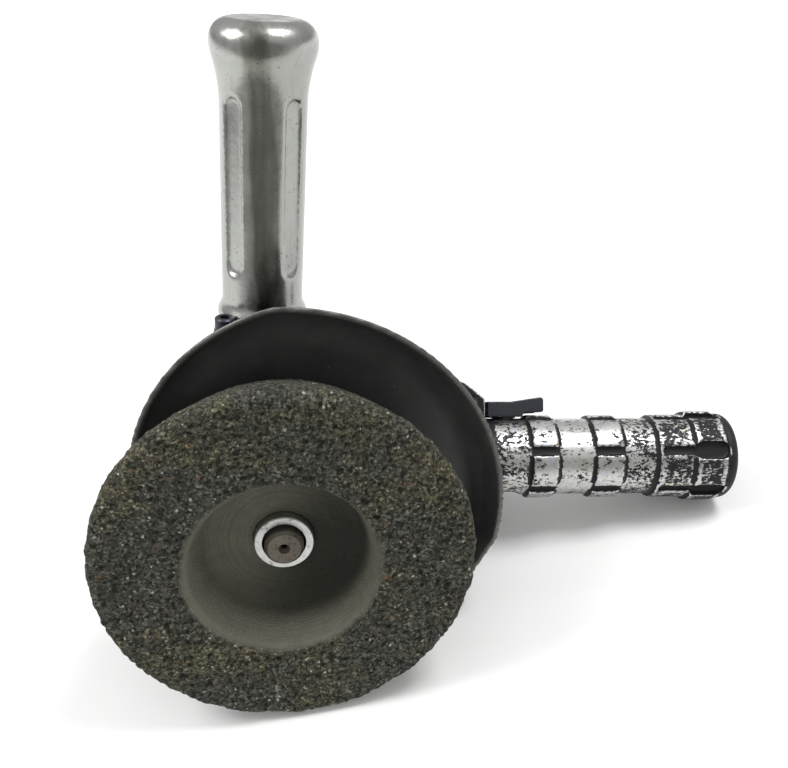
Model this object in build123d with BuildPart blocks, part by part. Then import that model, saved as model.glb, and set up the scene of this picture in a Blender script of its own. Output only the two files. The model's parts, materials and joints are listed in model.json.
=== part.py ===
from build123d import *
from math import asin, atan, atan2, cos, degrees, hypot, radians, sin, tan
import os

# Vertical air grinder with a worn cup wheel, a half guard, a dead handle and a throttle handle, in mm.
#
# Everything is drawn around the spindle: +X runs out along the throttle handle, +Y along the dead handle
# and +Z along the spindle, out of the wheel's face, which lies at Z = 0.  The last section lays the tool
# down on the three places it rests on, and writes one STEP file for each sub-part.

# ---------------------------------------------------------------------------------------------------
# Driving dimensions
# ---------------------------------------------------------------------------------------------------

# Cup wheel: 6 inch flaring cup, worn down from 2 inches thick
wheel_radius = 76.2
wheel_back_radius = 60.3
wheel_thickness = 46
wheel_land = 7
wheel_corner = 4
recess_mouth_radius = 38
recess_floor_radius = 31
recess_depth = 21.5
bushing_radius = 12.2
bushing_proud = 4
arbor_radius = 7.94

# Places along the spindle, measured from the wheel's face
spindle_tip_z = -13.4
flange_z = -wheel_thickness
nose_z = -53.5
nose_flange_z = -63
gasket_thickness = 0.6
housing_front_z = -67
front_bearing_z = -66
liner_z = -85
rotor_length = 39.7
rear_plate_z = -125
rear_bearing_z = -131
rear_bearing_width = 11
cap_z = -135
tool_length = 154

# Motor
spindle_radius = 10
rear_journal_radius = 7.5
rotor_radius = 26
liner_radius = 38
liner_bore_radius = 29.5
liner_offset = 3.3
liner_offset_angle = 225
vane_count = 4
vane_thickness = 2.4
vane_depth = 10.9
vane_slot_floor = 14

# Housing
housing_radius = 45
cap_radius = 43
cap_corner = wheel_corner
nose_radius = 30
nose_flange_radius = 46
neck_radius = 18.5
pad_side = 46
pad_corner = 6
pad_inner = 56
pad_outer = 62
pad_screw_offset = 17.5
back_screw_offset = 23.5
front_screw_offset = pad_screw_offset - 2
deflector_z = -112
deflector_width = 10
running_gap = 0.1

# Guard
guard_radius = 95.2
guard_rim_z = -36.7
guard_back_z = -55.5
guard_sheet = 2.5
guard_bend = 12
guard_draft = 0.46

# Handles: both axes lie in one plane behind the wheel
handle_z = -86
dead_x = -9
dead_base = 72.5
dead_top = 193.4
dead_radius = 17.4
dead_bulb_radius = 21.4
flute_width = 8.5
flute_depth = 1.8
flute_bottom = 93.5
flute_top = 165.5
throttle_radius = 18.2
throttle_root_radius = 20.4
throttle_base = pad_outer
throttle_shoulder = 94.8
throttle_tip = 216.6
pad_height = 1.6
end_pad_height = 3.4
slot_count = 6
slot_turn = -7
slot_width = 4
end_slot_width = 8.5
slot_floor = 0.5

# Throttle
lever_turn = 30
valve_x = 106
lever_pin_x = 88
lever_pin_out = 25.5
lever_pin_radius = 2.5
plunger_radius = 2.5
plunger_top = 22.8
plunger_foot = 9.5
valve_seat_out = 3
valve_radius = 6
chamber_radius = 7.5
valve_cap_top = -13

# Planes and axes of the two handles
spindle_axis = Axis.Z
throttle_axis = Axis((0, 0, handle_z), (1, 0, 0))
dead_axis = Axis((dead_x, 0, handle_z), (0, 1, 0))
across_throttle = Plane(origin=(0, 0, handle_z), x_dir=(0, 1, 0), z_dir=(1, 0, 0))
across_dead = Plane(origin=(dead_x, 0, handle_z), x_dir=(1, 0, 0), z_dir=(0, 1, 0))
along_throttle = Plane(origin=(0, 0, handle_z), x_dir=(1, 0, 0), z_dir=(0, 0, 1))
along_dead = Plane(origin=(dead_x, 0, handle_z), x_dir=(1, 0, 0), z_dir=(0, 0, 1))

# The lever, plunger and valve work in one plane through the throttle handle's axis, turned back from
# +Y: its local x runs out along the handle and its local y out towards the lever.
lever_tilt = radians(lever_turn)
lever_plane = Plane(
    origin=(0, 0, handle_z), x_dir=(1, 0, 0), z_dir=(0, sin(lever_tilt), cos(lever_tilt))
)
lever_out = lever_plane.y_dir
valve_plane = Plane(origin=lever_plane.from_local_coords((valve_x, 0, 0)), x_dir=(1, 0, 0), z_dir=lever_out)
valve_section = Plane(origin=valve_plane.origin, x_dir=(1, 0, 0), z_dir=lever_plane.z_dir)
valve_axis = Axis(valve_plane.origin, lever_out)


def outline(points, rounds=(), plane=Plane.XZ):
    """Return the closed face through the points, with the listed (corner number, radius) rounded."""
    with BuildSketch(plane) as face:
        with BuildLine():
            Polyline(*points, close=True)
        make_face()
        for corner, radius in rounds:
            fillet(face.vertices().sort_by_distance(points[corner])[0], radius=radius)
    return face.sketch


def disc(radius, plane, hole=0):
    """Return a round face on the plane, with an optional hole."""
    with BuildSketch(plane) as face:
        Circle(radius)
        if hole:
            Circle(hole, mode=Mode.SUBTRACT)
    return face.sketch


def at_z(height):
    """Return the plane square to the spindle at this height."""
    return Plane.XY.offset(height)


def radial_plane(angle, height):
    """Return the plane that faces outward from the spindle at this angle, its x along the spindle."""
    turn = radians(angle)
    return Plane(origin=(0, 0, height), x_dir=(0, 0, 1), z_dir=(cos(turn), sin(turn), 0))


# ---------------------------------------------------------------------------------------------------
# Wheel, bushing, spindle and back flange
# ---------------------------------------------------------------------------------------------------

with BuildPart() as grinding_wheel:
    revolve(
        outline(
            [
                (bushing_radius, -recess_depth),
                (recess_floor_radius, -recess_depth),
                (recess_mouth_radius, 0),
                (wheel_radius, 0),
                (wheel_radius, -wheel_land),
                (wheel_back_radius, -wheel_thickness),
                (bushing_radius, -wheel_thickness),
            ],
            rounds=[(1, 7), (2, 2.5), (3, wheel_corner), (5, 3)],
        ),
        axis=spindle_axis,
    )
grinding_wheel.part.label = "grinding_wheel"

bushing_z = bushing_proud - recess_depth
bushing_mouth_radius = 9
bushing_bore_radius = 8.05

with BuildPart() as wheel_bushing:
    revolve(
        outline(
            [
                (bushing_mouth_radius, bushing_z),
                (bushing_radius, bushing_z),
                (bushing_radius, -wheel_thickness),
                (bushing_bore_radius, -wheel_thickness),
                (bushing_bore_radius, bushing_z - 7),
                (bushing_mouth_radius, bushing_z - 6),
            ]
        ),
        axis=spindle_axis,
    )
    front_edges = wheel_bushing.edges().filter_by(GeomType.CIRCLE).group_by(Axis.Z)[-1]
    chamfer(front_edges.sort_by(SortBy.RADIUS)[-1], 0.4)
wheel_bushing.part.label = "wheel_bushing"

collar_radius = 12.5
spindle_end_z = -149
locknut_thread_radius = 6
centre_drill_radius = 2.4
flange_thickness = 6

with BuildPart() as spindle:
    revolve(
        outline(
            [
                (0, spindle_tip_z),
                (arbor_radius - 1.2, spindle_tip_z),
                (arbor_radius, spindle_tip_z - 1.2),
                (arbor_radius, flange_z - flange_thickness),
                (collar_radius, flange_z - flange_thickness),
                (collar_radius, front_bearing_z),
                (spindle_radius, front_bearing_z),
                (spindle_radius, rear_bearing_z),
                (rear_journal_radius, rear_bearing_z),
                (rear_journal_radius, rear_bearing_z - rear_bearing_width),
                (locknut_thread_radius, rear_bearing_z - rear_bearing_width),
                (locknut_thread_radius, spindle_end_z),
                (0, spindle_end_z),
            ]
        ),
        axis=spindle_axis,
    )
    with Locations(at_z(spindle_tip_z)):
        CounterSinkHole(centre_drill_radius / 2, centre_drill_radius, depth=8, counter_sink_angle=60)
    with BuildSketch(Plane.XZ.offset(-spindle_radius)):
        with Locations((0, liner_z - rotor_length / 2)):
            Rectangle(4, 26)
    extrude(amount=2, mode=Mode.SUBTRACT)
spindle.part.label = "spindle"

back_flange_radius = 27

with BuildPart() as back_flange:
    revolve(
        outline(
            [
                (arbor_radius + 0.05, flange_z - 1),
                (back_flange_radius - 8, flange_z - 1),
                (back_flange_radius - 8, flange_z),
                (back_flange_radius, flange_z),
                (back_flange_radius, flange_z - 3),
                (collar_radius + 4, flange_z - flange_thickness),
                (arbor_radius + 0.05, flange_z - flange_thickness),
            ]
        ),
        axis=spindle_axis,
    )
back_flange.part.label = "back_flange"

# ---------------------------------------------------------------------------------------------------
# Bearings: two deep-groove ball bearings, each of two races, a cage and its balls
# ---------------------------------------------------------------------------------------------------

ball_gap = 0.05
front_bearing = {"bore": 10, "outside": 23.5, "ball": 3.9, "count": 8, "z": front_bearing_z, "width": 14}
rear_bearing = {"bore": 7.5, "outside": 17.5, "ball": 2.9, "count": 8, "z": rear_bearing_z, "width": 11}


def race(bearing, inner_radius, outer_radius):
    """Return one grooved race of a bearing as a solid ring."""
    pitch = (bearing["bore"] + bearing["outside"]) / 2
    middle = bearing["z"] - bearing["width"] / 2
    with BuildPart() as ring:
        extrude(disc(outer_radius, at_z(bearing["z"]), inner_radius), amount=-bearing["width"])
        with Locations(at_z(middle)):
            Torus(pitch, bearing["ball"] + ball_gap, mode=Mode.SUBTRACT)
    return ring.part


def outer_race(bearing):
    """Return the race that sits in the housing."""
    return race(bearing, bearing["outside"] - bearing["ball"], bearing["outside"])


def inner_race(bearing):
    """Return the race that turns with the spindle."""
    return race(bearing, bearing["bore"], bearing["bore"] + bearing["ball"])


def ball_places(bearing):
    """Return the places of a bearing's balls, evenly spaced round its pitch circle."""
    pitch = (bearing["bore"] + bearing["outside"]) / 2
    middle = bearing["z"] - bearing["width"] / 2
    step = 360 / bearing["count"]
    return [
        (pitch * cos(radians(step * turn)), pitch * sin(radians(step * turn)), middle)
        for turn in range(bearing["count"])
    ]


def balls(bearing):
    """Return a bearing's balls as separate solids."""
    with BuildPart() as group:
        with Locations(*ball_places(bearing)):
            Sphere(bearing["ball"])
    return group.part


def cage(bearing):
    """Return the ring that keeps a bearing's balls apart."""
    pitch = (bearing["bore"] + bearing["outside"]) / 2
    middle = bearing["z"] - bearing["width"] / 2
    width = 1.5 * bearing["ball"]
    with BuildPart() as ring:
        extrude(disc(pitch + 1, at_z(middle + width / 2), pitch - 1), amount=-width)
        with Locations(*ball_places(bearing)):
            Sphere(bearing["ball"] + ball_gap, mode=Mode.SUBTRACT)
    return ring.part


bearing_parts = []
for place, bearing in (("front", front_bearing), ("rear", rear_bearing)):
    for name, piece in (
        ("outer_race", outer_race(bearing)),
        ("inner_race", inner_race(bearing)),
        ("cage", cage(bearing)),
        ("balls", balls(bearing)),
    ):
        piece.label = f"{place}_bearing_{name}"
        bearing_parts.append(piece)

# ---------------------------------------------------------------------------------------------------
# Motor: rotor, key, vanes, liner, end plates and lock nut
# ---------------------------------------------------------------------------------------------------

end_gap = 0.15
rotor_z = liner_z - end_gap
vane_slot_gap = 0.1
key_side = 4

with BuildPart() as rotor:
    extrude(disc(rotor_radius, at_z(rotor_z), spindle_radius), amount=-rotor_length)
    slot_depth = rotor_radius - vane_slot_floor
    with BuildSketch(at_z(rotor_z)):
        with PolarLocations(vane_slot_floor + slot_depth, vane_count):
            Rectangle(2 * slot_depth, vane_thickness + 2 * vane_slot_gap)
    extrude(amount=-rotor_length, mode=Mode.SUBTRACT)
    with BuildSketch(Plane.XZ.offset(-spindle_radius - key_side / 2)):
        with Locations((0, liner_z - rotor_length / 2)):
            Rectangle(key_side, 26)
    extrude(amount=key_side / 2 + 1, mode=Mode.SUBTRACT)
    chamfer(rotor.edges().filter_by(GeomType.CIRCLE).sort_by(SortBy.RADIUS)[-2:], 0.3)
rotor.part.label = "rotor"

with BuildPart() as rotor_key:
    with BuildSketch(Plane.XZ.offset(-spindle_radius - key_side / 2)):
        with Locations((0, liner_z - rotor_length / 2)):
            Rectangle(key_side, 26)
    extrude(amount=key_side)
rotor_key.part.label = "rotor_key"

vanes = []
for number in range(vane_count):
    with BuildPart() as vane:
        with BuildSketch(at_z(rotor_z - 0.1)):
            with PolarLocations(rotor_radius - 0.1 - vane_depth / 2, 1, start_angle=90 * number):
                Rectangle(vane_depth, vane_thickness)
        extrude(amount=0.2 - rotor_length)
    vane.part.label = f"vane_{number + 1}"
    vanes.append(vane.part)

bore_turn = radians(liner_offset_angle)
bore_centre = (liner_offset * cos(bore_turn), liner_offset * sin(bore_turn))
dowel_radius = 1.5
dowel_circle = 34.5
dowel_angle = 45
port_radius = 3.5
port_out = 8
port_plane = Plane(origin=lever_plane.from_local_coords((0, port_out, 0)), z_dir=(1, 0, 0))

with BuildPart() as cylinder_liner:
    with BuildSketch(at_z(liner_z)):
        Circle(liner_radius)
        with Locations(bore_centre):
            Circle(liner_bore_radius, mode=Mode.SUBTRACT)
        with PolarLocations(dowel_circle, 1, start_angle=dowel_angle):
            Circle(dowel_radius, mode=Mode.SUBTRACT)
    extrude(amount=rear_plate_z - liner_z)
    for angle in (200, 215, 230, 245):
        with BuildSketch(radial_plane(angle, deflector_z - deflector_width / 2)):
            Rectangle(6, 4)
        extrude(amount=liner_radius + 2, mode=Mode.SUBTRACT)
    extrude(disc(port_radius, port_plane), amount=liner_radius + 2, mode=Mode.SUBTRACT)
cylinder_liner.part.label = "cylinder_liner"

with BuildPart() as liner_dowel:
    with BuildSketch(at_z(liner_z + 2)):
        with PolarLocations(dowel_circle, 1, start_angle=dowel_angle):
            Circle(dowel_radius)
    extrude(amount=rear_plate_z - liner_z - 4)
liner_dowel.part.label = "liner_dowel"

plate_thickness = 4
plate_lip = 1
plate_bore_radius = spindle_radius + 0.3
lip_radius = 20

with BuildPart() as front_end_plate:
    revolve(
        outline(
            [
                (plate_bore_radius, liner_z),
                (liner_radius, liner_z),
                (liner_radius, liner_z + plate_thickness),
                (front_bearing["outside"], liner_z + plate_thickness),
                (front_bearing["outside"], liner_z + plate_thickness + plate_lip),
                (lip_radius, liner_z + plate_thickness + plate_lip),
                (lip_radius, liner_z + plate_thickness),
                (plate_bore_radius, liner_z + plate_thickness),
            ]
        ),
        axis=spindle_axis,
    )
    with BuildSketch(at_z(liner_z)):
        with PolarLocations(dowel_circle, 1, start_angle=dowel_angle):
            Circle(dowel_radius)
    extrude(amount=2, mode=Mode.SUBTRACT)
front_end_plate.part.label = "front_end_plate"

rear_hub_radius = 22
rear_hub_end = rear_bearing_z - rear_bearing_width - 0.5

with BuildPart() as rear_end_plate:
    revolve(
        outline(
            [
                (plate_bore_radius, rear_plate_z),
                (liner_radius, rear_plate_z),
                (liner_radius, rear_plate_z - plate_thickness),
                (rear_hub_radius, rear_plate_z - plate_thickness),
                (rear_hub_radius, rear_hub_end),
                (rear_bearing["outside"], rear_hub_end),
                (rear_bearing["outside"], rear_bearing_z),
                (plate_bore_radius + 3, rear_bearing_z),
                (plate_bore_radius + 3, rear_plate_z - 3),
                (plate_bore_radius, rear_plate_z - 3),
            ]
        ),
        axis=spindle_axis,
    )
    with BuildSketch(at_z(rear_plate_z)):
        with PolarLocations(dowel_circle, 1, start_angle=dowel_angle):
            Circle(dowel_radius)
    extrude(amount=-2, mode=Mode.SUBTRACT)
rear_end_plate.part.label = "rear_end_plate"

with BuildPart() as spindle_locknut:
    with BuildSketch(at_z(rear_bearing_z - rear_bearing_width)):
        RegularPolygon(9.5, 6)
        Circle(locknut_thread_radius, mode=Mode.SUBTRACT)
    extrude(amount=-5.5)
    outer_ring = spindle_locknut.faces().sort_by(Axis.Z)[0].outer_wire().edges()
    chamfer(outer_ring, 0.6)
spindle_locknut.part.label = "spindle_locknut"

# ---------------------------------------------------------------------------------------------------
# Nose housing with its seal, gasket and screws
# ---------------------------------------------------------------------------------------------------

flange_screw_circle = 41.6
flange_screw_radius = 2
flange_screw_head = 4
nose_opening = collar_radius + 0.7
seal_pocket_radius = 20
seal_front_z = nose_z - 3.5
seal_thickness = 4
washer_thickness = 1.5
nose_flange_back = housing_front_z + gasket_thickness

with BuildPart() as nose_housing:
    revolve(
        outline(
            [
                (nose_opening, nose_z),
                (nose_radius, nose_z),
                (nose_radius, nose_flange_z),
                (nose_flange_radius, nose_flange_z),
                (nose_flange_radius, nose_flange_back),
                (liner_radius, nose_flange_back),
                (liner_radius, liner_z + plate_thickness + 0.2),
                (front_bearing["outside"], liner_z + plate_thickness + 0.2),
                (front_bearing["outside"], front_bearing_z),
                (seal_pocket_radius, front_bearing_z),
                (seal_pocket_radius, seal_front_z),
                (nose_opening, seal_front_z),
            ],
            rounds=[(1, 1), (3, 1)],
        ),
        axis=spindle_axis,
    )
    with Locations(at_z(nose_flange_z)):
        with PolarLocations(flange_screw_circle, 4, start_angle=22):
            CounterSinkHole(flange_screw_radius, flange_screw_head, counter_sink_angle=90)
nose_housing.part.label = "nose_housing"

with BuildPart() as nose_gasket:
    with BuildSketch(at_z(nose_flange_back)):
        Circle(nose_flange_radius - 0.5)
        Circle(liner_radius, mode=Mode.SUBTRACT)
        with PolarLocations(flange_screw_circle, 4, start_angle=22):
            Circle(flange_screw_radius, mode=Mode.SUBTRACT)
    extrude(amount=-gasket_thickness)
nose_gasket.part.label = "nose_gasket"

with BuildPart() as nose_screws:
    with BuildSketch(at_z(nose_flange_z - 0.2)):
        with PolarLocations(flange_screw_circle, 4, start_angle=22):
            Circle(flange_screw_head - 0.2)
    extrude(amount=-(flange_screw_head - flange_screw_radius), taper=45)
    with BuildSketch(at_z(nose_flange_z - 1)):
        with PolarLocations(flange_screw_circle, 4, start_angle=22):
            Circle(flange_screw_radius)
    extrude(amount=-14)
    with BuildSketch(at_z(nose_flange_z - 0.2)):
        with PolarLocations(flange_screw_circle, 4, start_angle=22):
            RegularPolygon(1.4, 6)
    extrude(amount=-1.6, mode=Mode.SUBTRACT)
nose_screws.part.label = "nose_screws"

with BuildPart() as dust_seal:
    extrude(disc(seal_pocket_radius, at_z(seal_front_z), collar_radius + 0.1), amount=-seal_thickness)
dust_seal.part.label = "dust_seal"

with BuildPart() as seal_washer:
    washer_face = at_z(seal_front_z - seal_thickness)
    extrude(disc(seal_pocket_radius, washer_face, nose_opening), amount=-washer_thickness)
seal_washer.part.label = "seal_washer"

# ---------------------------------------------------------------------------------------------------
# Motor housing, rear cap, exhaust deflector
# ---------------------------------------------------------------------------------------------------

screw_corners = [
    (x, y) for x in (-pad_screw_offset, pad_screw_offset) for y in (-pad_screw_offset, pad_screw_offset)
]
pad_screw_radius = 2.5
cap_screw_circle = 41
cap_screw_radius = 2
cap_screw_head = 3.5
cap_screw_places = {"count": 4, "start_angle": 52}
oil_plug_radius = 4
oil_plug_length = 8
oil_plug_plane = radial_plane(-45, -102).offset(housing_radius - oil_plug_length + 1)
exhaust_angles = (196, 213, 230, 247)

# The dead handle's flange has two screws in front and one behind, so its back is narrow.
dead_screw_corners = [
    (-front_screw_offset, -pad_screw_offset),
    (front_screw_offset, -pad_screw_offset),
    (0, back_screw_offset),
]


def dead_flange(plane):
    """Return the outline of the dead handle's flange, drawn tight around its screw heads."""
    with BuildSketch(plane) as shape:
        Circle(neck_radius)
        with Locations(*dead_screw_corners):
            Circle(4.6)
        make_hull()
    return shape.sketch


with BuildPart() as motor_housing:
    revolve(
        outline(
            [
                (0, housing_front_z),
                (nose_flange_radius, housing_front_z),
                (nose_flange_radius, housing_front_z - 4),
                (housing_radius, housing_front_z - 6),
                (housing_radius, cap_z),
                (0, cap_z),
            ]
        ),
        axis=spindle_axis,
    )
    for across in (across_throttle, across_dead):
        extrude(disc(neck_radius, across), amount=pad_inner)
    with BuildSketch(across_throttle.offset(pad_inner)):
        RectangleRounded(pad_side, pad_side, pad_corner)
    extrude(amount=pad_outer - pad_inner)
    extrude(dead_flange(across_dead.offset(pad_inner)), amount=pad_outer - pad_inner)
    neck_edges = motor_housing.edges().filter_by(GeomType.CIRCLE)
    neck_edges = neck_edges.filter_by(lambda edge: edge.radius == neck_radius)
    fillet(neck_edges.sort_by(Axis.X)[-1], 2)
    extrude(disc(liner_radius, at_z(housing_front_z)), amount=cap_z - housing_front_z, mode=Mode.SUBTRACT)
    for across, corners in ((across_throttle, screw_corners), (across_dead, dead_screw_corners)):
        with BuildSketch(across.offset(pad_outer)):
            with Locations(*corners):
                Circle(pad_screw_radius)
        extrude(amount=-5, mode=Mode.SUBTRACT)
    extrude(disc(port_radius, port_plane), amount=pad_outer, mode=Mode.SUBTRACT)
    with BuildSketch(across_dead.offset(pad_outer)):
        Circle(7)
    extrude(amount=-12, mode=Mode.SUBTRACT)
    for angle in exhaust_angles:
        with BuildSketch(radial_plane(angle, deflector_z - deflector_width / 2)):
            Rectangle(6, 9)
        extrude(amount=housing_radius + 2, mode=Mode.SUBTRACT)
    with BuildSketch(at_z(housing_front_z)):
        with PolarLocations(flange_screw_circle, 4, start_angle=22):
            Circle(flange_screw_radius)
    extrude(amount=-11, mode=Mode.SUBTRACT)
    with BuildSketch(at_z(cap_z)):
        with PolarLocations(cap_screw_circle, **cap_screw_places):
            Circle(cap_screw_radius)
    extrude(amount=8, mode=Mode.SUBTRACT)
    extrude(disc(oil_plug_radius, oil_plug_plane), amount=oil_plug_length, mode=Mode.SUBTRACT)
motor_housing.part.label = "motor_housing"

cap_front_z = cap_z - gasket_thickness
cap_pocket_radius = 30
cap_floor = 3.5
cap_screw_seat_z = cap_z - 8

with BuildPart() as rear_gasket:
    with BuildSketch(at_z(cap_z)):
        Circle(housing_radius - 0.5)
        Circle(liner_radius, mode=Mode.SUBTRACT)
        with PolarLocations(cap_screw_circle, **cap_screw_places):
            Circle(cap_screw_radius, mode=Mode.SUBTRACT)
    extrude(amount=-gasket_thickness)
rear_gasket.part.label = "rear_gasket"

with BuildPart() as rear_cap:
    revolve(
        outline(
            [
                (cap_pocket_radius, cap_front_z),
                (housing_radius, cap_front_z),
                (housing_radius, cap_front_z - 2),
                (cap_radius, cap_front_z - 8),
                (cap_radius, -tool_length),
                (26, -tool_length),
                (24, 1.5 - tool_length),
                (0, 1.5 - tool_length),
                (0, cap_floor - tool_length),
                (cap_pocket_radius, cap_floor - tool_length),
            ],
            rounds=[(4, cap_corner), (9, 2)],
        ),
        axis=spindle_axis,
    )
    with BuildSketch(at_z(cap_front_z)):
        with PolarLocations(cap_screw_circle, **cap_screw_places):
            Circle(cap_screw_radius)
    extrude(amount=-tool_length, mode=Mode.SUBTRACT)
    with BuildSketch(at_z(cap_screw_seat_z)):
        with PolarLocations(cap_screw_circle, **cap_screw_places):
            Circle(cap_screw_head + 1)
    extrude(amount=-tool_length, mode=Mode.SUBTRACT)
rear_cap.part.label = "rear_cap"

with BuildPart() as rear_cap_screws:
    with BuildSketch(at_z(cap_screw_seat_z)):
        with PolarLocations(cap_screw_circle, **cap_screw_places):
            Circle(cap_screw_head)
    extrude(amount=-4)
    head_rims = rear_cap_screws.edges().filter_by(GeomType.CIRCLE).group_by(Axis.Z)[0]
    chamfer(head_rims, 0.4)
    with BuildSketch(at_z(cap_screw_seat_z)):
        with PolarLocations(cap_screw_circle, **cap_screw_places):
            Circle(cap_screw_radius)
    extrude(amount=14)
    with BuildSketch(at_z(cap_screw_seat_z - 4)):
        with PolarLocations(cap_screw_circle, **cap_screw_places):
            RegularPolygon(1.7, 6)
    extrude(amount=2.2, mode=Mode.SUBTRACT)
rear_cap_screws.part.label = "rear_cap_screws"

deflector_radius = housing_radius + 2.4
louvre_angles = range(188, 260, 12)

with BuildPart() as exhaust_deflector:
    extrude(disc(deflector_radius, at_z(deflector_z), housing_radius + running_gap), amount=-deflector_width)
    chamfer(exhaust_deflector.edges().filter_by(GeomType.CIRCLE).sort_by(SortBy.RADIUS)[-2:], 0.6)
    for angle in louvre_angles:
        with BuildSketch(radial_plane(angle, deflector_z - deflector_width / 2)):
            SlotOverall(6.5, 4.5)
        extrude(amount=deflector_radius + 2, mode=Mode.SUBTRACT)
exhaust_deflector.part.label = "exhaust_deflector"

with BuildPart() as oil_plug:
    extrude(disc(oil_plug_radius, oil_plug_plane), amount=oil_plug_length)
    with BuildSketch(oil_plug_plane.offset(oil_plug_length)):
        RegularPolygon(2.3, 6)
    extrude(amount=-3, mode=Mode.SUBTRACT)
oil_plug.part.label = "oil_plug"

# ---------------------------------------------------------------------------------------------------
# Guard: a pressed half dish with a clamp band that grips the nose housing
# ---------------------------------------------------------------------------------------------------

# The dish is round on the throttle side and drawn in on the far side, where it follows its own arc and
# its rim is cut back at a slant.
guard_left_centre = (15.4, 13.5)
guard_left_radius = 83.2
guard_seam_angle = 93
guard_left_middle = 132
guard_left_end = 168
guard_left_drop = 6
guard_right_start = -8
guard_right_end = (79, -44)
guard_rim_slant = 0.12
guard_hub_radius = 42
clamp_band_radius = nose_radius + 3.6
clamp_band_width = 6


def around(centre, radius, angle):
    """Return the point at this angle on a circle."""
    return (centre[0] + radius * cos(radians(angle)), centre[1] + radius * sin(radians(angle)))


def guard_outline(height, sheet, overrun):
    """Return the dish's section at this height, inset by the sheet, its cut side moved down by overrun."""
    inset = sheet + guard_draft * (guard_rim_z - height)
    right = around((0, 0), guard_radius - inset, guard_right_start)
    seam = around((0, 0), guard_radius - inset, guard_seam_angle)
    middle = around(guard_left_centre, guard_left_radius - inset, guard_left_middle)
    end = around(guard_left_centre, guard_left_radius - inset, guard_left_end)
    lower = (guard_right_end[0] - inset - overrun * 0.39, guard_right_end[1] - overrun * 0.92)
    with BuildSketch(at_z(height)) as section:
        with BuildLine():
            Line(lower, right)
            ThreePointArc(right, around((0, 0), guard_radius - inset, 45), seam)
            ThreePointArc(seam, middle, end)
            below = (end[0], end[1] - guard_left_drop - overrun)
            Polyline(end, below, (-30, -38 - overrun), (26, -40 - overrun), lower)
        make_face()
    return section.sketch


def guard_block(sheet, overrun, front_z, back_z):
    """Return the dish as a solid block with its back edge rounded."""
    with BuildPart() as block:
        loft([guard_outline(front_z, sheet, overrun), guard_outline(back_z, sheet, overrun)], ruled=True)
        back_edges = block.edges().group_by(Axis.Z)[0]
        curved = back_edges.filter_by(lambda edge: edge.center().X > 70 or edge.center().Y > 15)
        fillet(curved, guard_bend)
    return block.part


with BuildPart() as wheel_guard:
    add(guard_block(0, 0, guard_rim_z, guard_back_z))
    add(guard_block(guard_sheet, 14, guard_rim_z + 1, guard_back_z + guard_sheet), mode=Mode.SUBTRACT)
    extrude(disc(guard_hub_radius, at_z(guard_back_z)), amount=guard_sheet)
    extrude(disc(nose_radius + running_gap, at_z(guard_back_z)), amount=guard_sheet, mode=Mode.SUBTRACT)
    slant = [(0, guard_rim_z), (-100, guard_rim_z - 100 * guard_rim_slant), (-100, 0), (0, 0)]
    extrude(outline(slant), amount=guard_radius + 1, both=True, mode=Mode.SUBTRACT)
wheel_guard.part.label = "wheel_guard"

ear_inner = 2
ear_outer = 7
ear_bottom = -45
clamp_screw_y = -39.5
clamp_screw_radius = 2
clamp_middle_z = (guard_back_z + nose_flange_z) / 2
clamp_screw_plane = Plane(origin=(0, clamp_screw_y, clamp_middle_z), x_dir=(0, 1, 0), z_dir=(1, 0, 0))

with BuildPart() as guard_clamp_band:
    with BuildSketch(at_z(guard_back_z)):
        Circle(clamp_band_radius)
        with Locations((0, (ear_bottom - nose_radius) / 2)):
            RectangleRounded(2 * ear_outer, -ear_bottom - nose_radius, 2)
        Circle(nose_radius + running_gap, mode=Mode.SUBTRACT)
        with Locations((0, (ear_bottom - nose_radius) / 2)):
            Rectangle(2 * ear_inner, 24, mode=Mode.SUBTRACT)
    extrude(amount=-clamp_band_width)
    with BuildSketch(clamp_screw_plane):
        Circle(clamp_screw_radius)
    extrude(amount=20, both=True, mode=Mode.SUBTRACT)
guard_clamp_band.part.label = "guard_clamp_band"

with BuildPart() as guard_clamp_screw:
    extrude(disc(clamp_screw_radius, clamp_screw_plane.offset(-13)), amount=13 + ear_outer)
    extrude(disc(3.5, clamp_screw_plane.offset(ear_outer)), amount=4)
    with BuildSketch(clamp_screw_plane.offset(ear_outer + 4)):
        RegularPolygon(1.7, 6)
    extrude(amount=-2, mode=Mode.SUBTRACT)
guard_clamp_screw.part.label = "guard_clamp_screw"

with BuildPart() as guard_clamp_nut:
    with BuildSketch(clamp_screw_plane.offset(-ear_outer)):
        RegularPolygon(4, 6)
        Circle(clamp_screw_radius, mode=Mode.SUBTRACT)
    extrude(amount=-3.2)
guard_clamp_nut.part.label = "guard_clamp_nut"

# ---------------------------------------------------------------------------------------------------
# Dead handle on its socket
# ---------------------------------------------------------------------------------------------------

stud_radius = 7
stud_foot = 51
stud_top = 99
screw_head_radius = 4.1
screw_head_height = 5


def pad_screws(across, seat, corners, length):
    """Return cap screws at these corners whose heads sit at this distance along a handle's axis."""
    with BuildPart() as screws:
        with BuildSketch(across.offset(seat)):
            with Locations(*corners):
                Circle(screw_head_radius)
        extrude(amount=screw_head_height)
        rims = screws.edges().filter_by(GeomType.CIRCLE).group_by(Axis(across.origin, across.z_dir))[-1]
        chamfer(rims, 0.5)
        with BuildSketch(across.offset(seat)):
            with Locations(*corners):
                Circle(pad_screw_radius)
        extrude(amount=-length)
        with BuildSketch(across.offset(seat + screw_head_height)):
            with Locations(*corners):
                RegularPolygon(2.3, 6)
        extrude(amount=-2.5, mode=Mode.SUBTRACT)
    return screws.part


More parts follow.
